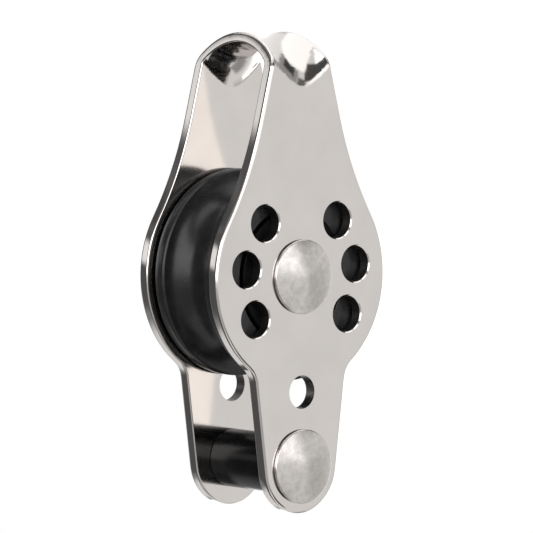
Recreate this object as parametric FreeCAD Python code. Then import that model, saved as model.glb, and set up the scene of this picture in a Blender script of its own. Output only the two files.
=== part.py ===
import FreeCAD, Part
import math
import os

from FreeCAD import Vector

# Single block with becket, in millimetres.
# +Z is up, the sheave turns about Y and the front plate is on the -Y side.
# The origin is the centre of the sheave.

# Sheave
sheave_diameter = 22.0
sheave_width = 9.3
groove_depth = 3.0
groove_radius = 3.3
rim_bevel = 0.25

# Strap: one folded sheet
sheet = 1.3
side_clearance = 0.3            # sheave's side face to each plate
cheek_overhang = 0.75           # plate past the sheave's rim
head_height = 25.65             # sheave's centre to the top of the strap's side edges
head_top_width = 6.5
head_side_angle = 14.5          # lean of the head's sides, degrees from vertical
flare_radius = 38.5             # hollow curve from the head down to the cheek
becket_drop = 19.9              # sheave's centre down to the becket rivet
tail_end_radius = 5.0
tail_side_angle = 7.5           # taper of the tail's sides, degrees from vertical
tail_fillet = 2.5               # hollow corner between cheek and tail
outer_edge_rounding = 0.38
inner_edge_rounding = 0.2

# Saddle pressed into the fold: a ring surface about a line along X
saddle_form_depth = 3.1         # hollow of the ring from its ends to its middle
saddle_form_overhang = 2.6      # ring's end past the side of the head's top
crease_height = 1.15            # tip of the crease above the saddle's centre line
crease_rounding = 0.6

# Holes in each plate
flush_hole_diameter = 3.84
flush_circle_radius = 7.62
flush_hole_angles = (48.9, 7.8, -33.3)      # one side, up from horizontal, mirrored to the other
tail_hole_diameter = 3.52
tail_hole_drop = 12.1
hole_edge_bevel = 0.12          # outer edges of the flush holes

# Rivets
rivet_shank_diameter = 4.0
rivet_head_diameter = 7.8
rivet_rim_height = 0.35
rivet_head_height = 0.95        # tip of the low cone above the plate
rivet_rim_bevel = 0.14

# Bearing
ball_diameter = 2.38125         # 3/32 inch
ball_pitch_radius = 5.3
ball_spacing_clearance = 0.15
race_clearance = 0.05
race_shoulder = 0.45            # step that keeps a ball row in, inside it in the cup, outside it on the cone
row_offset = 2.2                # centre of each ball row from the sheave's middle
hub_flange_diameter = 13.9
hub_flange_thickness = 1.0
flange_clearance = 0.2
spacer_wall = 1.0

# Becket
becket_spacer_wall = 0.5
becket_sleeve_diameter = 6.2
becket_running_clearance = 0.05
becket_end_clearance = 0.15
sleeve_bevel = 0.2

# Derived sizes
sheave_radius = sheave_diameter / 2
inner_gap = sheave_width + 2 * side_clearance
overall_gap = inner_gap + 2 * sheet
plate_inner = inner_gap / 2
plate_outer = overall_gap / 2
cheek_radius = sheave_radius + cheek_overhang
shank_radius = rivet_shank_diameter / 2
ball_radius = ball_diameter / 2
hub_flange_radius = hub_flange_diameter / 2
spacer_radius = shank_radius + spacer_wall
race_reach = math.degrees(math.acos(1 - race_shoulder / (ball_radius + race_clearance)))
becket_spacer_radius = shank_radius + becket_spacer_wall
x_axis = Vector(1, 0, 0)
y_axis = Vector(0, 1, 0)
z_axis = Vector(0, 0, 1)
origin = Vector(0, 0, 0)
becket_centre = Vector(0, 0, -becket_drop)

# The ring's middle radius is set by where the crease's tip lies on the plate's outer face. From there its
# side hollows outwards on one arc, and the top of the strap's side edges lies on that arc too.
saddle_mid_radius = math.hypot(plate_outer, crease_height)
saddle_half_width = head_top_width / 2 + saddle_form_overhang
saddle_curve_radius = (saddle_half_width**2 + saddle_form_depth**2) / (2 * saddle_form_depth)


def turned(profile, centre=origin):
    """Solid of revolution about the line along Y through centre, from (radius, y) points or edges."""
    edges = []
    for start, end in zip(profile, profile[1:] + profile[:1]):
        first, last = start[-1], end[0]
        if len(start) == 3:
            a, b, c = (Vector(r, y, 0) for r, y in start)
            edges.append(Part.Arc(a, b, c).toShape())
        p, q = Vector(first[0], first[1], 0), Vector(last[0], last[1], 0)
        if (p - q).Length > 1e-6:
            edges.append(Part.LineSegment(p, q).toShape())
    face = Part.Face(Part.Wire(edges))
    solid = face.revolve(origin, y_axis, 360)
    solid.translate(centre)
    return solid


def point(r, y):
    return ((r, y),)


def arc_about(r, y, radius, start_angle, end_angle):
    """Three (radius, y) points on an arc, with its angles measured from the +r direction."""
    angles = (start_angle, (start_angle + end_angle) / 2, end_angle)
    return tuple(
        (r + radius * math.cos(math.radians(a)), y + radius * math.sin(math.radians(a)))
        for a in angles
    )


def tube(outer_radius, inner_radius, length, centre=origin):
    half = length / 2
    return turned(
        [
            point(inner_radius, -half),
            point(outer_radius, -half),
            point(outer_radius, half),
            point(inner_radius, half),
        ],
        centre,
    )


def cylinder_y(radius, half_length, x, z):
    return Part.makeCylinder(radius, 2 * half_length, Vector(x, -half_length, z), y_axis)


def mirror_y(shape):
    return shape.mirror(origin, y_axis)


def at_angle(radius, degrees):
    a = math.radians(degrees)
    return Vector(radius * math.cos(a), 0, radius * math.sin(a))


# Strap


def flare_centre(top_point, side_direction, side_normal):
    """Centre of the arc that touches the head's side line and the cheek circle from outside."""
    reach = cheek_radius + flare_radius
    base = top_point + side_normal * flare_radius
    b = base.dot(side_direction)
    c = base.dot(base) - reach * reach
    return base + side_direction * (-b + math.sqrt(b * b - c))


def tail_fillet_centre(side_point, side_direction, side_normal):
    """Centre of the small arc that touches the tail's side line and the cheek circle from outside."""
    reach = cheek_radius + tail_fillet
    base = side_point + side_normal * tail_fillet
    b = base.dot(side_direction)
    c = base.dot(base) - reach * reach
    return base + side_direction * (-b - math.sqrt(b * b - c))


def strap_outline():
    """A plate's outline as seen from the front, running on above the fold, where the fold ends it."""
    lean = math.radians(head_side_angle)
    head_up = Vector(-math.sin(lean), 0, math.cos(lean))
    head_out = Vector(math.cos(lean), 0, math.sin(lean))
    top = Vector(head_top_width / 2, 0, head_height)
    over = top + head_up * sheet
    flare = flare_centre(top, head_up, head_out)
    flare_top = flare - head_out * flare_radius
    cheek_top = flare * (cheek_radius / flare.Length)
    flare_mid_direction = (flare_top - flare).normalize() + (cheek_top - flare).normalize()
    flare_mid = flare + flare_mid_direction.normalize() * flare_radius

    taper = math.radians(tail_side_angle)
    tail_up = Vector(math.sin(taper), 0, math.cos(taper))
    tail_out = Vector(math.cos(taper), 0, -math.sin(taper))
    tail_low = becket_centre + tail_out * tail_end_radius
    fillet = tail_fillet_centre(tail_low, tail_up, tail_out)
    tail_top = fillet - tail_out * tail_fillet
    cheek_low = fillet * (cheek_radius / fillet.Length)
    fillet_mid_direction = (tail_top - fillet).normalize() + (cheek_low - fillet).normalize()
    fillet_mid = fillet + fillet_mid_direction.normalize() * tail_fillet
    bottom = becket_centre - z_axis * tail_end_radius
    round_mid = becket_centre + (tail_out - z_axis).normalize() * tail_end_radius

    def line(a, b):
        return Part.LineSegment(a, b).toShape()

    def arc(a, b, c):
        return Part.Arc(a, b, c).toShape()

    edges = [
        line(over, flare_top),
        arc(flare_top, flare_mid, cheek_top),
        arc(cheek_top, Vector(cheek_radius, 0, 0), cheek_low),
        arc(cheek_low, fillet_mid, tail_top),
        line(tail_top, tail_low),
        arc(tail_low, round_mid, bottom),
    ]
    mirrored = [e.mirror(origin, x_axis) for e in edges]
    closing = line(Vector(-over.x, 0, over.z), over)
    return Part.Wire(Part.__sortEdges__(edges + mirrored + [closing]))


def saddle_radius(x):
    """Radius of the saddle's outer face about its centre line, at x from the middle."""
    return saddle_mid_radius + saddle_curve_radius - math.sqrt(saddle_curve_radius**2 - x**2)


saddle_centre = head_height - saddle_radius(head_top_width / 2)


def saddle_ring(inset):
    """Solid of revolution about the saddle's centre line, hollow-sided like a waisted roller."""
    end_height = saddle_centre + saddle_radius(saddle_half_width) - inset
    left = Vector(-saddle_half_width, 0, end_height)
    mid = Vector(0, 0, saddle_centre + saddle_mid_radius - inset)
    right = Vector(saddle_half_width, 0, end_height)
    foot_right = Vector(saddle_half_width, 0, saddle_centre)
    foot_left = Vector(-saddle_half_width, 0, saddle_centre)
    edges = [
        Part.Arc(left, mid, right).toShape(),
        Part.LineSegment(right, foot_right).toShape(),
        Part.LineSegment(foot_right, foot_left).toShape(),
        Part.LineSegment(foot_left, left).toShape(),
    ]
    face = Part.Face(Part.Wire(edges))
    return face.revolve(foot_left, x_axis, 360)


def bent_slab(half_thickness, inset, half_length):
    """The space inside the folded sheet's outer or inner surface, before the outline is cut."""
    slab = Part.makeBox(
        2 * half_length,
        2 * half_thickness,
        3 * head_height + becket_drop,
        Vector(-half_length, -half_thickness, -head_height - becket_drop),
    )
    above = Part.makeBox(
        4 * half_length,
        4 * plate_outer,
        2 * head_height,
        Vector(-2 * half_length, -2 * plate_outer, saddle_centre),
    )
    return slab.cut(above.cut(saddle_ring(inset)))




def is_side_face(face):
    """True for the narrow faces that the outline cuts through the sheet."""
    surface = face.Surface
    if surface.TypeId == "Part::GeomPlane":
        return abs(surface.Axis.y) < 0.01
    if surface.TypeId == "Part::GeomCylinder":
        return abs(surface.Axis.y) > 0.99
    return False


def on_outer_face(place):
    """True where a place on the sheet's rim is nearer its outer face than its inner one."""
    if place.z < saddle_centre:
        return abs(place.y) > plate_outer - sheet / 2
    bent = math.hypot(place.y, place.z - saddle_centre) - saddle_radius(place.x)
    return max(abs(place.y) - plate_outer, bent) > -sheet / 2


def rim_edges(shape):
    """Edges between the sheet's two faces and its cut sides, outer ones and inner ones."""
    sides = [f for f in shape.Faces if is_side_face(f)]
    others = [f for f in shape.Faces if not is_side_face(f)]
    outer, inner = [], []
    for side in sides:
        for edge in side.Edges:
            if not any(edge.isSame(e) for f in others for e in f.Edges):
                continue
            place = edge.valueAt((edge.FirstParameter + edge.LastParameter) / 2)
            (outer if on_outer_face(place) else inner).append(edge)
    return outer, inner


def crease_edges(shape, half_thickness):
    """Edges where the flat plates meet the saddle, on the faces half_thickness from the middle."""
    found = []
    for edge in shape.Edges:
        box = edge.BoundBox
        flat = box.YLength < 0.02 and abs(abs(box.Center.y) - half_thickness) < 0.01
        if flat and abs(box.Center.x) < 0.01 and box.ZMin > 0:
            found.append(edge)
    return found


def flush_hole_edges(shape):
    """Round edges of the flush holes on the plates' outer faces."""
    found = []
    for edge in shape.Edges:
        box = edge.BoundBox
        on_plate = box.YLength < 0.01 and abs(abs(box.Center.y) - plate_outer) < 0.01
        if on_plate and abs(box.XLength - flush_hole_diameter) < 0.02 and box.XLength - box.ZLength < 0.02:
            found.append(edge)
    return found


def make_strap():
    length = cheek_radius + 2
    outer = bent_slab(plate_outer, 0, length)
    inner = bent_slab(plate_inner, sheet, length)
    outer = outer.makeFillet(crease_rounding + sheet, crease_edges(outer, plate_outer))
    inner = inner.makeFillet(crease_rounding, crease_edges(inner, plate_inner))
    outline = Part.Face(strap_outline())
    outline.translate(Vector(0, -plate_outer - 1, 0))
    blank = outline.extrude(Vector(0, 2 * plate_outer + 2, 0))
    strap = outer.cut(inner).common(blank).removeSplitter().Solids[0]
    outer_rim, inner_rim = rim_edges(strap)
    strap = strap.makeFillet(outer_edge_rounding, outer_rim)
    outer_rim, inner_rim = rim_edges(strap)
    strap = strap.makeFillet(inner_edge_rounding, inner_rim)
    past = plate_outer + 1
    holes = [cylinder_y(shank_radius, past, 0, z) for z in (0, -becket_drop)]
    holes.append(cylinder_y(tail_hole_diameter / 2, past, 0, -tail_hole_drop))
    for angle in flush_hole_angles:
        for mirrored in (angle, 180 - angle):
            place = at_angle(flush_circle_radius, mirrored)
            holes.append(cylinder_y(flush_hole_diameter / 2, past, place.x, place.z))
    strap = strap.cut(Part.makeCompound(holes)).Solids[0]
    return strap.makeChamfer(hole_edge_bevel, flush_hole_edges(strap))


# Rivets


def make_rivet(centre):
    """Rivet closed over both plates, with a low cone in a thin rim on each side."""
    head_radius = rivet_head_diameter / 2
    front = [
        point(0, -plate_outer - rivet_head_height),
        point(head_radius - rivet_rim_bevel, -plate_outer - rivet_rim_height),
        point(head_radius, -plate_outer - rivet_rim_height + rivet_rim_bevel),
        point(head_radius, -plate_outer),
        point(shank_radius, -plate_outer),
    ]
    rear = [tuple((r, -y) for r, y in reversed(item)) for item in reversed(front)]
    return turned(front + rear, centre)


# Sheave and bearing


def race_arc(start_angle, end_angle, row):
    """Part of a race groove's section at the ball row, its angles measured from the outward direction."""
    return arc_about(ball_pitch_radius, row, ball_radius + race_clearance, start_angle, end_angle)


def make_sheave():
    half = sheave_width / 2
    cup = ball_pitch_radius + ball_radius + race_clearance
    counterbore = hub_flange_radius + flange_clearance
    floor = half - hub_flange_thickness + side_clearance - flange_clearance
    groove_centre = sheave_radius - groove_depth + groove_radius
    groove_half = math.sqrt(groove_radius**2 - (groove_centre - sheave_radius) ** 2)
    groove = (
        (sheave_radius, groove_half),
        (sheave_radius - groove_depth, 0),
        (sheave_radius, -groove_half),
    )
    profile = [
        point(counterbore, -half),
        point(counterbore, -floor),
        point(cup, -floor),
        race_arc(0, race_reach, -row_offset),
        race_arc(-race_reach, 0, row_offset),
        point(cup, floor),
        point(counterbore, floor),
        point(counterbore, half),
        point(sheave_radius, half),
        groove,
        point(sheave_radius, -half),
    ]
    sheave = turned(profile)
    rims = [e for e in sheave.Edges if e.BoundBox.ZMax > sheave_radius - 0.01 and e.BoundBox.YLength < 0.01]
    return sheave.makeChamfer(rim_bevel, rims)


def make_hub(side):
    """One half of the fixed hub: a flanged cone that closes one ball row from outside."""
    cone = ball_pitch_radius - ball_radius - race_clearance
    flange_inner = plate_inner - hub_flange_thickness
    profile = [
        point(spacer_radius, 0),
        point(cone, 0),
        race_arc(180, 180 - race_reach, row_offset),
        point(cone + race_shoulder, flange_inner),
        point(hub_flange_radius, flange_inner),
        point(hub_flange_radius, plate_inner),
        point(spacer_radius, plate_inner),
    ]
    hub = turned(profile)
    return hub if side > 0 else mirror_y(hub)


def ball_count():
    return int(2 * math.pi * ball_pitch_radius / (ball_diameter + ball_spacing_clearance))


def make_ball(side, index):
    place = at_angle(ball_pitch_radius, 360 * index / ball_count())
    place.y = side * row_offset
    return Part.makeSphere(ball_radius, place)


# Becket


def make_becket_sleeve():
    half = plate_inner - becket_end_clearance
    bore = becket_spacer_radius + becket_running_clearance
    sleeve = tube(becket_sleeve_diameter / 2, bore, 2 * half, becket_centre)
    rims = [
        e
        for e in sleeve.Edges
        if e.BoundBox.YLength < 0.01 and e.BoundBox.XLength > becket_sleeve_diameter - 0.01
    ]
    return sleeve.makeChamfer(sleeve_bevel, rims)


parts = {
    "strap": make_strap(),
    "sheave": make_sheave(),
    "axle_rivet": make_rivet(origin),
    "axle_spacer": tube(spacer_radius, shank_radius, inner_gap),
    "hub_front": make_hub(-1),
    "hub_rear": make_hub(1),
    "becket_rivet": make_rivet(becket_centre),
    "becket_spacer": tube(becket_spacer_radius, shank_radius, inner_gap, becket_centre),
    "becket_sleeve": make_becket_sleeve(),
}
for index in range(ball_count()):
    parts["ball_front_%02d" % (index + 1)] = make_ball(-1, index)
    parts["ball_rear_%02d" % (index + 1)] = make_ball(1, index)

if __name__ == "__main__":
    os.makedirs("parts", exist_ok=True)
    for name, shape in parts.items():
        box = shape.BoundBox
        size = "%.2f x %.2f x %.2f" % (box.XLength, box.YLength, box.ZLength)
        print(name, len(shape.Solids), shape.isValid(), round(shape.Volume, 2), size)
        shape.exportStep("parts/" + name + ".step")
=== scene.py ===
import math

import bmesh
import bpy
from mathutils import Matrix, Vector


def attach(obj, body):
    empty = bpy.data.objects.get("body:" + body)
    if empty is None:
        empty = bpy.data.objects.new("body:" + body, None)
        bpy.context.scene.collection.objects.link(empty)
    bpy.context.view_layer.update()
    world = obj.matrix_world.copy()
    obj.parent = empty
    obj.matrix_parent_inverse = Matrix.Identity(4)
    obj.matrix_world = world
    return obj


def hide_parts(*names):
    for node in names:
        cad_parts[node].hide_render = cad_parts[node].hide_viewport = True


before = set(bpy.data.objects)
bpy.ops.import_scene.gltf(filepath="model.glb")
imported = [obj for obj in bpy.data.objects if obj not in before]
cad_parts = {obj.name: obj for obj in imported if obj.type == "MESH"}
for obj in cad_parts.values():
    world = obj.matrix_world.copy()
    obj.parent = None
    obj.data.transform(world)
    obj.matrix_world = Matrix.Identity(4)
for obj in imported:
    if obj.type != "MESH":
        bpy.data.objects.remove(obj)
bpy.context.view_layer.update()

print("block: frame loaded")

mm = 0.001
gap = 4.95           # middle of the block to a cheek's inner face, mm
outside = 6.25       # middle of the block to a cheek's outer face, mm
becketDrop = 19.9    # axle down to the becket rivet, mm
mergeWithin = 0.001  # points of a turned piece closer than this become one, mm
ringWithin = 0.01    # how near a ring edge lies to its named radius and place, mm
sharpOver = 32.0     # faces that meet at more degrees than this keep a sharp edge


# the photo's camera: angles in degrees, lengths in mm, clipping in m
cameraView = {
    "azimuth": -41.1,
    "elevation": 3.745,
    "distance": 443.8,
    "aimRight": 0.41,
    "aimUp": 0.757,
    "lens": 284.06,
    "sensor": 36.0,
    "clipStart": 0.01,
    "clipEnd": 20.0,
}


def placeCamera(settings):
    turn = math.radians(settings["azimuth"])
    lift = math.radians(settings["elevation"])
    back = Vector((math.sin(turn) * math.cos(lift), -math.cos(turn) * math.cos(lift), math.sin(lift)))
    right = Vector((math.cos(turn), math.sin(turn), 0))
    up = back.cross(right)
    aim = right * settings["aimRight"] + up * settings["aimUp"]
    camera = bpy.data.cameras.new("photoCamera")
    camera.lens = settings["lens"]
    camera.sensor_width = settings["sensor"]
    camera.clip_start = settings["clipStart"]
    camera.clip_end = settings["clipEnd"]
    holder = bpy.data.objects.new("photoCamera", camera)
    bpy.context.scene.collection.objects.link(holder)
    axes = Matrix((right, up, back)).transposed().to_4x4()
    holder.matrix_world = Matrix.Translation((aim + back * settings["distance"]) * mm) @ axes
    bpy.context.scene.camera = holder


def newMaterial(name, color, metallic):
    material = bpy.data.materials.new(name)
    material.use_nodes = True
    nodes = material.node_tree.nodes
    nodes.clear()
    output = nodes.new("ShaderNodeOutputMaterial")
    shader = nodes.new("ShaderNodeBsdfPrincipled")
    shader.inputs["Base Color"].default_value = color
    shader.inputs["Metallic"].default_value = metallic
    material.node_tree.links.new(shader.outputs["BSDF"], output.inputs["Surface"])
    return material, nodes, material.node_tree.links, shader


def mathOn(nodes, links, operation, *sources):
    step = nodes.new("ShaderNodeMath")
    step.operation = operation
    for place, source in enumerate(sources):
        if isinstance(source, (int, float)):
            step.inputs[place].default_value = source
        else:
            links.new(source, step.inputs[place])
    return step.outputs[0]


def placeOn(nodes, links, stretch=(1, 1, 1), shift=(0, 0, 0)):
    place = nodes.new("ShaderNodeTexCoord")
    mapping = nodes.new("ShaderNodeMapping")
    mapping.inputs["Scale"].default_value = stretch
    mapping.inputs["Location"].default_value = shift
    links.new(place.outputs["Object"], mapping.inputs["Vector"])
    return mapping.outputs["Vector"]


def noiseOn(nodes, links, scale, stretch=(1, 1, 1), detail=3.0, roughness=0.5):
    noise = nodes.new("ShaderNodeTexNoise")
    noise.inputs["Scale"].default_value = scale
    noise.inputs["Detail"].default_value = detail
    noise.inputs["Roughness"].default_value = roughness
    links.new(placeOn(nodes, links, stretch), noise.inputs["Vector"])
    return noise.outputs["Fac"]


def rangeOf(nodes, links, source, low, high, fromLow=0.0, fromHigh=1.0):
    spread = nodes.new("ShaderNodeMapRange")
    spread.inputs["From Min"].default_value = fromLow
    spread.inputs["From Max"].default_value = fromHigh
    spread.inputs["To Min"].default_value = low
    spread.inputs["To Max"].default_value = high
    links.new(source, spread.inputs["Value"])
    return spread.outputs["Result"]


def addBump(nodes, links, shader, source, size, earlier=None):
    height, strength = size
    bump = nodes.new("ShaderNodeBump")
    bump.inputs["Distance"].default_value = height * mm
    bump.inputs["Strength"].default_value = strength
    links.new(source, bump.inputs["Height"])
    if earlier:
        links.new(earlier, bump.inputs["Normal"])
    links.new(bump.outputs["Normal"], shader.inputs["Normal"])
    return bump.outputs["Normal"]


def tint(nodes, links, shader, source, dark, light, low=0.32, high=0.68):
    ramp = nodes.new("ShaderNodeValToRGB")
    ramp.color_ramp.elements[0].position = low
    ramp.color_ramp.elements[0].color = dark
    ramp.color_ramp.elements[1].position = high
    ramp.color_ramp.elements[1].color = light
    links.new(source, ramp.inputs["Fac"])
    links.new(ramp.outputs["Color"], shader.inputs["Base Color"])


# the polished, folded sheet
sheetSteel = {
    "light": (0.70, 0.665, 0.638, 1),
    "dark": (0.665, 0.632, 0.606, 1),
    "roughLow": 0.08,
    "roughHigh": 0.13,
    "clouds": 260.0,
    "grain": 5200.0,
    "ripple": (0.004, 0.25),      # bumps: height in mm, strength
    "scratches": (0.0006, 0.2),
    "wallPaintedShade": 0.3,             # painted shade darkens the punched hole walls, which are also duller than the sheet
    "wallRough": 0.42,
    "flushCircle": 7.62,          # flush holes: pitch radius, angles on one side, radius
    "flushAngles": (48.9, 7.8, -33.3),
    "flushRadius": 1.925,
    "tailDrop": 12.1,
    "tailRadius": 1.765,
}


# darkens the colour that the shader has been given so far
def shadeBy(nodes, links, shader, shade):
    darker = nodes.new("ShaderNodeVectorMath")
    darker.operation = "SCALE"
    links.new(shader.inputs["Base Color"].links[0].from_socket, darker.inputs[0])
    links.new(shade, darker.inputs["Scale"])
    links.new(darker.outputs[0], shader.inputs["Base Color"])


# 1 inside the punched holes and 0 elsewhere, the same on both sides of the middle
def inHoles(nodes, links, settings):
    axes = nodes.new("ShaderNodeSeparateXYZ")
    links.new(placeOn(nodes, links), axes.inputs[0])
    aside = mathOn(nodes, links, "ABSOLUTE", axes.outputs["X"])
    holes = [(0.0, -settings["tailDrop"], settings["tailRadius"])]
    for angle in settings["flushAngles"]:
        across = settings["flushCircle"] * math.cos(math.radians(angle))
        height = settings["flushCircle"] * math.sin(math.radians(angle))
        holes.append((across, height, settings["flushRadius"]))
    found = 0.0
    for across, height, radius in holes:
        run = mathOn(nodes, links, "POWER", mathOn(nodes, links, "SUBTRACT", aside, across * mm), 2.0)
        rise = mathOn(nodes, links, "SUBTRACT", axes.outputs["Z"], height * mm)
        square = mathOn(nodes, links, "MULTIPLY_ADD", rise, rise, run)
        inside = mathOn(nodes, links, "LESS_THAN", square, (radius * mm) ** 2)
        found = mathOn(nodes, links, "MAXIMUM", found, inside)
    return found


def makeSheetSteel(settings):
    material, nodes, links, shader = newMaterial("sheetSteel", settings["light"], 1.0)
    clouds = noiseOn(nodes, links, settings["clouds"], detail=4.0)
    tint(nodes, links, shader, clouds, settings["dark"], settings["light"])
    # painted shade inside the punched holes: their walls are darkened, and also made duller
    walls = inHoles(nodes, links, settings)
    shadeBy(nodes, links, shader, rangeOf(nodes, links, walls, 1.0, settings["wallPaintedShade"]))
    grain = noiseOn(nodes, links, settings["grain"], detail=2.0)
    polish = rangeOf(nodes, links, grain, settings["roughLow"], settings["roughHigh"])
    dull = mathOn(nodes, links, "MULTIPLY", walls, settings["wallRough"])
    links.new(mathOn(nodes, links, "MAXIMUM", polish, dull), shader.inputs["Roughness"])
    ripple = addBump(nodes, links, shader, clouds, settings["ripple"])
    addBump(nodes, links, shader, grain, settings["scratches"], ripple)
    return material


# the turned and closed rivet heads, grooved round their own axis
rivetSteel = {
    "light": (0.675, 0.643, 0.61, 1),
    "dark": (0.53, 0.502, 0.475, 1),
    "roughLow": 0.18,
    "roughHigh": 0.28,
    "stains": 1500.0,
    "rings": 5200.0,
    "waver": 1.2,
    "pores": 4200.0,
    "turnedBump": (0.0012, 0.22),
    "dentBump": (0.012, 0.12),
    "poreBump": (0.002, 0.2),
    "paintedFootShadeBand": (0.05, 0.2),         # heights between which the painted shade round the foot fades, mm
    "paintedFootShade": 0.12,
}


def makeRivetSteel(name, axisHeight, settings):
    material, nodes, links, shader = newMaterial(name, settings["light"], 1.0)
    stains = noiseOn(nodes, links, settings["stains"], detail=5.0, roughness=0.62)
    tint(nodes, links, shader, stains, settings["dark"], settings["light"])
    axes = nodes.new("ShaderNodeSeparateXYZ")
    links.new(placeOn(nodes, links), axes.inputs[0])
    along = mathOn(nodes, links, "ABSOLUTE", axes.outputs["Y"])
    # painted shade: the head is darkened near its foot, where the rim meets the cheek
    foot, top = ((outside + height) * mm for height in settings["paintedFootShadeBand"])
    shadeBy(nodes, links, shader, rangeOf(nodes, links, along, settings["paintedFootShade"], 1.0, foot, top))
    rings = nodes.new("ShaderNodeTexWave")
    rings.wave_type = "RINGS"
    rings.rings_direction = "Y"
    rings.inputs["Scale"].default_value = settings["rings"]
    rings.inputs["Distortion"].default_value = settings["waver"]
    rings.inputs["Detail"].default_value = 2.0
    links.new(placeOn(nodes, links, shift=(0, 0, -axisHeight * mm)), rings.inputs["Vector"])
    pores = noiseOn(nodes, links, settings["pores"])
    polish = rangeOf(nodes, links, stains, settings["roughHigh"], settings["roughLow"])
    links.new(polish, shader.inputs["Roughness"])
    turned = addBump(nodes, links, shader, rings.outputs["Fac"], settings["turnedBump"])
    dents = addBump(nodes, links, shader, stains, settings["dentBump"], turned)
    addBump(nodes, links, shader, pores, settings["poreBump"], dents)
    return material


# moulded black plastic, as it is on the sheave
blackPlastic = {
    "light": (0.0125, 0.0125, 0.0135, 1),
    "dark": (0.006, 0.006, 0.0065, 1),
    "roughLow": 0.18,
    "roughHigh": 0.32,
    "specular": 0.36,
    "clouds": 420.0,
    "streaks": 1600.0,
    "cloudBump": (0.01, 0.2),
    "streakBump": (0.0015, 0.3),
}

# the hub, which only shows through the flush holes, and the sleeve are darker, duller copies of the
# sheave's plastic: painted shade for the hub deep in the holes and the sleeve between the cheeks
hubShadedBlack = dict(
    blackPlastic,
    light=(0.003, 0.003, 0.0032, 1),
    dark=(0.0015, 0.0015, 0.0016, 1),
    specular=0.05,
)
sleeveShadedBlack = dict(
    blackPlastic,
    light=(0.006, 0.006, 0.0064, 1),
    dark=(0.003, 0.003, 0.0032, 1),
    specular=0.14,
)


def makeBlackPlastic(name, settings, wear):
    material, nodes, links, shader = newMaterial(name, settings["light"], 0.0)
    shader.inputs["Specular IOR Level"].default_value = settings["specular"]
    clouds = noiseOn(nodes, links, settings["clouds"], detail=4.0)
    tint(nodes, links, shader, clouds, settings["dark"], settings["light"])
    streaks = noiseOn(nodes, links, settings["streaks"], stretch=wear)
    polish = rangeOf(nodes, links, streaks, settings["roughLow"], settings["roughHigh"])
    links.new(polish, shader.inputs["Roughness"])
    soft = addBump(nodes, links, shader, clouds, settings["cloudBump"])
    addBump(nodes, links, shader, streaks, settings["streakBump"], soft)
    return material


# plain drawn tube and bearing balls, which only show from inside
tubeSteel = {"color": (0.62, 0.62, 0.62, 1), "roughLow": 0.22, "roughHigh": 0.34, "grain": 2500.0}
ballSteel = {"color": (0.75, 0.75, 0.76, 1), "roughLow": 0.06, "roughHigh": 0.1, "grain": 2500.0}


def makeInnerSteel(name, settings):
    material, nodes, links, shader = newMaterial(name, settings["color"], 1.0)
    grain = noiseOn(nodes, links, settings["grain"])
    polish = rangeOf(nodes, links, grain, settings["roughLow"], settings["roughHigh"])
    links.new(polish, shader.inputs["Roughness"])
    return material


# a line of points, each a radius and a place along the axle in mm
def chain(shape, points, start=None):
    last = start
    for radius, along in points:
        spot = shape.verts.new((0, along * mm, radius * mm))
        if last:
            shape.edges.new((last, spot))
        last = spot
    return last


# an arc that goes on from a point, round a centre given the same way
def bend(shape, start, radius, along, turn, steps):
    made = bmesh.ops.spin(
        shape,
        geom=[start],
        cent=(0, along * mm, radius * mm),
        axis=(1, 0, 0),
        angle=math.radians(turn),
        steps=steps,
    )
    return [item for item in made["geom_last"] if isinstance(item, bmesh.types.BMVert)][0]


def turnShape(shape, drop, segments):
    bmesh.ops.spin(
        shape,
        geom=shape.verts[:] + shape.edges[:],
        cent=(0, 0, 0),
        axis=(0, 1, 0),
        angle=2 * math.pi,
        steps=segments,
        use_merge=True,
    )
    bmesh.ops.remove_doubles(shape, verts=shape.verts, dist=mergeWithin * mm)
    bmesh.ops.recalc_face_normals(shape, faces=shape.faces)
    bmesh.ops.translate(shape, verts=shape.verts, vec=(0, 0, -drop * mm))


# rounds the ring edges that lie at the given radius and place, on both sides of the middle
def roundRings(shape, rings, drop, width, segments=4):
    chosen = []
    for edge in shape.edges:
        spots = [(math.hypot(v.co.x, v.co.z + drop * mm) / mm, v.co.y / mm) for v in edge.verts]
        for radius, along in rings:
            if all(abs(r - radius) < ringWithin and abs(abs(y) - along) < ringWithin for r, y in spots):
                chosen.append(edge)
    bmesh.ops.bevel(
        shape,
        geom=chosen,
        offset=width * mm,
        offset_type="OFFSET",
        segments=segments,
        profile=0.5,
        affect="EDGES",
        material=-1,
    )


def finishPiece(name, shape, material, weighted=True):
    mesh = bpy.data.meshes.new(name)
    shape.to_mesh(mesh)
    shape.free()
    mesh.polygons.foreach_set("use_smooth", [True] * len(mesh.polygons))
    mesh.set_sharp_from_angle(angle=math.radians(sharpOver))
    mesh.materials.append(material)
    piece = bpy.data.objects.new(name, mesh)
    bpy.context.scene.collection.objects.link(piece)
    if weighted:
        weigh = piece.modifiers.new("weigh", "WEIGHTED_NORMAL")
        weigh.keep_sharp = True
    return piece


# the rope wheel, turned round the axle
sheave = {
    "radius": 11.0,
    "halfWidth": 4.65,
    "grooveDepth": 3.0,
    "grooveRadius": 3.3,
    "grooveSteps": 28,
    "recess": 7.15,       # counterbore that the hub's flange sits in
    "floor": 3.75,        # middle to the counterbore's floor
    "cup": 6.541,         # bore that the balls run in
    "shoulder": 6.091,
    "shoulderAlong": 1.244,
    "row": 2.2,
    "rimRound": 0.3,
    "recessRound": 0.12,
    "segments": 200,
}


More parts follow.
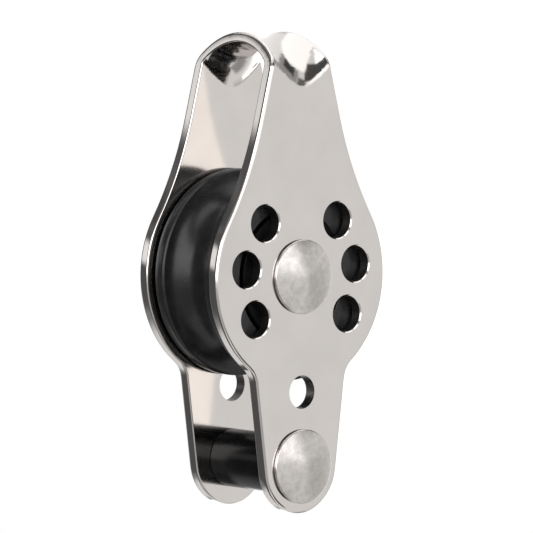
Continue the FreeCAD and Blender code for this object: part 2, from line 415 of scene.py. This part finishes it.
def makeSheave(settings, material):
    shape = bmesh.new()
    outer, half = settings["radius"], settings["halfWidth"]
    centre = outer - settings["grooveDepth"] + settings["grooveRadius"]
    lip = math.sqrt(settings["grooveRadius"] ** 2 - (centre - outer) ** 2)
    sweep = 2 * math.degrees(math.asin(lip / settings["grooveRadius"]))
    first = chain(shape, [(outer, -lip)])
    last = bend(shape, first, centre, 0, sweep, settings["grooveSteps"])
    along = [
        (outer, half),
        (settings["recess"], half),
        (settings["recess"], settings["floor"]),
        (settings["cup"], settings["floor"]),
        (settings["cup"], settings["row"]),
        (settings["shoulder"], settings["shoulderAlong"]),
        (settings["shoulder"], -settings["shoulderAlong"]),
        (settings["cup"], -settings["row"]),
        (settings["cup"], -settings["floor"]),
        (settings["recess"], -settings["floor"]),
        (settings["recess"], -half),
        (outer, -half),
    ]
    end = chain(shape, along, last)
    shape.edges.new((end, first))
    turnShape(shape, 0, settings["segments"])
    roundRings(shape, [(outer, lip), (outer, half)], 0, settings["rimRound"], 5)
    roundRings(shape, [(settings["recess"], half)], 0, settings["recessRound"], 3)
    wheel = finishPiece("grooveWheel", shape, material)
    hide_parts("sheave")
    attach(wheel, "sheave")


# one half of the bearing's inner race, with the flange seen through the flush holes
hub = {
    "bore": 3.0,
    "cone": 4.059,
    "shoulder": 4.509,
    "shoulderAlong": 3.156,
    "row": 2.2,
    "flange": 6.95,
    "flangeAlong": 3.95,
    "edgeRound": 0.14,
    "segments": 144,
}


def makeHub(name, node, side, settings, material):
    shape = bmesh.new()
    along = [
        (settings["bore"], 0),
        (settings["cone"], 0),
        (settings["cone"], settings["row"]),
        (settings["shoulder"], settings["shoulderAlong"]),
        (settings["shoulder"], settings["flangeAlong"]),
        (settings["flange"], settings["flangeAlong"]),
        (settings["flange"], gap),
        (settings["bore"], gap),
    ]
    first = chain(shape, along[:1])
    end = chain(shape, along[1:], first)
    shape.edges.new((end, first))
    turnShape(shape, 0, settings["segments"])
    roundRings(shape, [(settings["flange"], gap)], 0, settings["edgeRound"], 3)
    if side < 0:
        bmesh.ops.scale(shape, verts=shape.verts, vec=(1, -1, 1))
        bmesh.ops.recalc_face_normals(shape, faces=shape.faces)
    piece = finishPiece(name, shape, material)
    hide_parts(node)
    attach(piece, "block")


# a rivet with the same low cone of a head on both sides
rivet = {
    "head": 3.9,
    "shank": 2.0,
    "rim": 0.35,          # height of the head's edge over the cheek
    "tip": 0.95,          # height of the cone's tip over the cheek
    "tipRound": 0.7,      # radius of the small dome at the tip
    "rimRound": 0.12,
    "segments": 160,
}


def makeRivet(name, node, drop, settings, material):
    shape = bmesh.new()
    rim, tip = outside + settings["rim"], outside + settings["tip"]
    slope = (settings["tip"] - settings["rim"]) / settings["head"]
    flat = settings["tipRound"]
    half = [
        (0.0, tip - slope * flat * 0.5),
        (flat * 0.5, tip - slope * flat * 0.65),
        (flat, tip - slope * flat),
        (settings["head"], rim),
        (settings["head"], outside),
        (settings["shank"], outside),
    ]
    first = chain(shape, half[:1])
    end = chain(shape, half[1:], first)
    chain(shape, [(radius, -along) for radius, along in reversed(half)], end)
    turnShape(shape, drop, settings["segments"])
    roundRings(shape, [(settings["head"], rim)], drop, settings["rimRound"], 4)
    piece = finishPiece(name, shape, material)
    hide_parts(node)
    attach(piece, "block")


# the tube that the rope's standing end is tied to
sleeve = {"radius": 3.1, "bore": 2.55, "half": 4.9, "round": 0.06, "segments": 128}


def makeSleeve(settings, material):
    shape = bmesh.new()
    corners = [
        (settings["bore"], -settings["half"]),
        (settings["radius"], -settings["half"]),
        (settings["radius"], settings["half"]),
        (settings["bore"], settings["half"]),
    ]
    first = chain(shape, corners[:1])
    end = chain(shape, corners[1:], first)
    shape.edges.new((end, first))
    turnShape(shape, becketDrop, settings["segments"])
    roundRings(shape, [(settings["radius"], settings["half"])], becketDrop, settings["round"], 5)
    piece = finishPiece("becketTube", shape, material)
    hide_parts("becket_sleeve")
    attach(piece, "becket_sleeve")


# the folded sheet: what lies closer than this merges, and faces shade as one under this angle
strap = {"merge": 0.001, "smoothUnder": 33.0}


# each corner takes the mean direction of the faces round it that turn less than the limit
def evenNormals(mesh, limit):
    around = [[] for _ in mesh.vertices]
    for face in mesh.polygons:
        for corner in face.vertices:
            around[corner].append((face.normal.copy(), face.area))
    least = math.cos(math.radians(limit))
    normals = []
    for face in mesh.polygons:
        own = face.normal.copy()
        for corner in face.vertices:
            total = Vector((0, 0, 0))
            for normal, area in around[corner]:
                if normal.dot(own) > least:
                    total += normal * area
            normals.append(total.normalized() if total.length else own)
    mesh.normals_split_custom_set(normals)


def makeStrap(settings, material):
    shape = bmesh.new()
    shape.from_mesh(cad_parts["strap"].data)
    bmesh.ops.remove_doubles(shape, verts=shape.verts, dist=settings["merge"] * mm)
    bmesh.ops.dissolve_degenerate(shape, edges=shape.edges, dist=settings["merge"] * mm)
    piece = finishPiece("foldedStrap", shape, material, weighted=False)
    evenNormals(piece.data, settings["smoothUnder"])
    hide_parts("strap")
    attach(piece, "block")


# pieces that keep their CAD mesh
def dress(nodeNames, material):
    for name in nodeNames:
        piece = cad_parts[name]
        piece.data.materials.clear()
        piece.data.materials.append(material)


# pale floor, white to the camera and hidden from mirror rays: height and size in mm
stagePlace = {"floor": -24.96, "reach": 3000.0, "shade": (0.86, 0.86, 0.86, 1)}


def makeStage(settings):
    material = bpy.data.materials.new("paleFloor")
    material.use_nodes = True
    nodes, links = material.node_tree.nodes, material.node_tree.links
    nodes.clear()
    output = nodes.new("ShaderNodeOutputMaterial")
    plain = nodes.new("ShaderNodeBsdfDiffuse")
    plain.inputs["Color"].default_value = settings["shade"]
    glow = nodes.new("ShaderNodeEmission")
    glow.inputs["Strength"].default_value = 1.0
    path = nodes.new("ShaderNodeLightPath")
    mix = nodes.new("ShaderNodeMixShader")
    links.new(path.outputs["Is Camera Ray"], mix.inputs["Fac"])
    links.new(plain.outputs[0], mix.inputs[1])
    links.new(glow.outputs[0], mix.inputs[2])
    links.new(mix.outputs[0], output.inputs["Surface"])
    shape = bmesh.new()
    bmesh.ops.create_grid(shape, x_segments=1, y_segments=1, size=settings["reach"] * mm)
    bmesh.ops.translate(shape, verts=shape.verts, vec=(0, 0, settings["floor"] * mm))
    mesh = bpy.data.meshes.new("floor")
    shape.to_mesh(mesh)
    shape.free()
    floor = bpy.data.objects.new("floor", mesh)
    floor.data.materials.append(material)
    bpy.context.scene.collection.objects.link(floor)
    floor.visible_glossy = False


# what the shiny parts mirror: patches laid over one another in this order, each with the heading
# and height of its middle in degrees (heading 0 is the front, 90 the right), half width, half
# height, softness of the border and brightness
mirrored = {
    "rightWall": (112, -13, 38, 16, 6, 1.9),
    "rightHigh": (115, 22, 36, 17, 3, 1.0),
    "rightSky": (95, 64, 60, 25, 3, 1.5),
    "left": (-114, 0, 37, 90, 4, 0.1),
    "leftSky": (-105, 66, 48, 22, 5, 0.2),
    "behind": (180, 12, 31, 25, 4, 0.08),
    "behindLow": (180, -22, 31, 12, 5, 0.25),
    "gapLeft": (-140, 12, 10, 7, 2.5, 1.1),
    "window": (-40, 14, 37, 16, 3, 3.2),
    "overWindow": (-37, 38, 40, 6, 3, 0.35),
    "skyLight": (-17, 70, 28, 22, 5, 1.9),
    "floorFront": (-37, -27, 40, 19, 4, 0.5),
    "floorShade": (6, -43, 22, 17, 4, 0.12),
    "armShade": (17, 40, 21, 16, 2, 0.08),
    "rightBand": (80, 27, 25, 10, 3, 0.36),
    "rightLine": (79, 32, 15, 6, 2, 0.06),
    "tipShade": (45, 22, 9, 6, 2, 0.15),
    "rightFloor": (85, -50, 25, 9, 5, 0.35),
    "frontGlow": (21, 11, 12, 9, 6, 1.9),
    "frontDim": (60, -13, 12, 14, 6, 0.6),
}


# 1 up to the half width and 0 past it, with a soft border
def within(nodes, links, distance, half, soft):
    border = nodes.new("ShaderNodeMapRange")
    border.interpolation_type = "SMOOTHSTEP"
    border.inputs["From Min"].default_value = half - soft
    border.inputs["From Max"].default_value = half + soft
    border.inputs["To Min"].default_value = 1.0
    border.inputs["To Max"].default_value = 0.0
    links.new(distance, border.inputs["Value"])
    return border.outputs["Result"]


def mirroredSky(nodes, links, plain, patches):
    place = nodes.new("ShaderNodeTexCoord")
    axes = nodes.new("ShaderNodeSeparateXYZ")
    links.new(place.outputs["Generated"], axes.inputs[0])
    front = mathOn(nodes, links, "MULTIPLY", axes.outputs["Y"], -1.0)
    heading = mathOn(nodes, links, "DEGREES", mathOn(nodes, links, "ARCTAN2", axes.outputs["X"], front))
    height = mathOn(nodes, links, "DEGREES", mathOn(nodes, links, "ARCSINE", axes.outputs["Z"]))
    bright = plain
    for toHeading, toHeight, halfWidth, halfHeight, soft, level in patches.values():
        turned = mathOn(nodes, links, "SUBTRACT", heading, toHeading)
        aside = mathOn(nodes, links, "WRAP", turned, 180.0, -180.0)
        above = mathOn(nodes, links, "SUBTRACT", height, toHeight)
        sideways = within(nodes, links, mathOn(nodes, links, "ABSOLUTE", aside), halfWidth, soft)
        upwards = within(nodes, links, mathOn(nodes, links, "ABSOLUTE", above), halfHeight, soft)
        inside = mathOn(nodes, links, "MULTIPLY", sideways, upwards)
        missing = mathOn(nodes, links, "SUBTRACT", level, bright)
        bright = mathOn(nodes, links, "MULTIPLY_ADD", missing, inside, bright)
    return bright


# strength of the sky for plain surfaces, and what is mirrored between the patches
sky = {"strength": 0.6, "mirroredPlain": 0.88}


def lightWorld(settings, patches):
    world = bpy.data.worlds.new("softSky")
    world.use_nodes = True
    bpy.context.scene.world = world
    nodes, links = world.node_tree.nodes, world.node_tree.links
    nodes.clear()
    output = nodes.new("ShaderNodeOutputWorld")
    ground = nodes.new("ShaderNodeBackground")
    ground.inputs["Color"].default_value = (1, 1, 1, 1)
    path = nodes.new("ShaderNodeLightPath")
    direct = rangeOf(nodes, links, path.outputs["Is Camera Ray"], settings["strength"], 1.0)
    mirror = mirroredSky(nodes, links, settings["mirroredPlain"], patches)
    missing = mathOn(nodes, links, "SUBTRACT", mirror, direct)
    shown = mathOn(nodes, links, "MULTIPLY_ADD", missing, path.outputs["Is Glossy Ray"], direct)
    links.new(shown, ground.inputs["Strength"])
    links.new(ground.outputs[0], output.inputs["Surface"])


# soft lamps for plain surfaces: place and size in mm, power in watts
lamps = {
    "frontLamp": {"place": (60, -330, 90), "size": (150, 150), "power": 0.8},
    "skyLamp": {"place": (-120, -80, 380), "size": (260, 260), "power": 2.0},
}


def addLamp(name, settings):
    lamp = bpy.data.lights.new(name, "AREA")
    lamp.shape = "RECTANGLE"
    lamp.size, lamp.size_y = (side * mm for side in settings["size"])
    lamp.energy = settings["power"]
    holder = bpy.data.objects.new(name, lamp)
    holder.location = Vector(settings["place"]) * mm
    holder.rotation_euler = (-holder.location).to_track_quat("-Z", "Y").to_euler()
    holder.visible_glossy = False
    bpy.context.scene.collection.objects.link(holder)


placeCamera(cameraView)
bpy.context.scene.view_settings.view_transform = "Standard"
makeStage(stagePlace)
lightWorld(sky, mirrored)
for name, settings in lamps.items():
    addLamp(name, settings)
print("block: camera and stage set")

makeStrap(strap, makeSheetSteel(sheetSteel))
axleSteel = makeRivetSteel("axleSteel", 0.0, rivetSteel)
makeRivet("axleHead", "axle_rivet", 0.0, rivet, axleSteel)
becketSteel = makeRivetSteel("becketSteel", -becketDrop, rivetSteel)
makeRivet("becketHead", "becket_rivet", becketDrop, rivet, becketSteel)
print("block: strap and rivets made")

makeSheave(sheave, makeBlackPlastic("sheavePlastic", blackPlastic, (1, 1, 1)))
# the hub and the sleeve take the darker copies of the plastic, painted shade where they sit deep in the
# block
hubShadedPlastic = makeBlackPlastic("hubShadedPlastic", hubShadedBlack, (1, 1, 1))
makeHub("frontHub", "hub_front", -1, hub, hubShadedPlastic)
makeHub("rearHub", "hub_rear", 1, hub, hubShadedPlastic)
makeSleeve(sleeve, makeBlackPlastic("sleeveShadedPlastic", sleeveShadedBlack, (1, 0.1, 1)))
print("block: sheave, hub and becket sleeve made")

balls = [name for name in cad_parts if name.startswith("ball_")]
dress(["axle_spacer", "becket_spacer"], makeInnerSteel("tubeSteel", tubeSteel))
dress(balls, makeInnerSteel("ballSteel", ballSteel))
print("block: inner pieces finished")
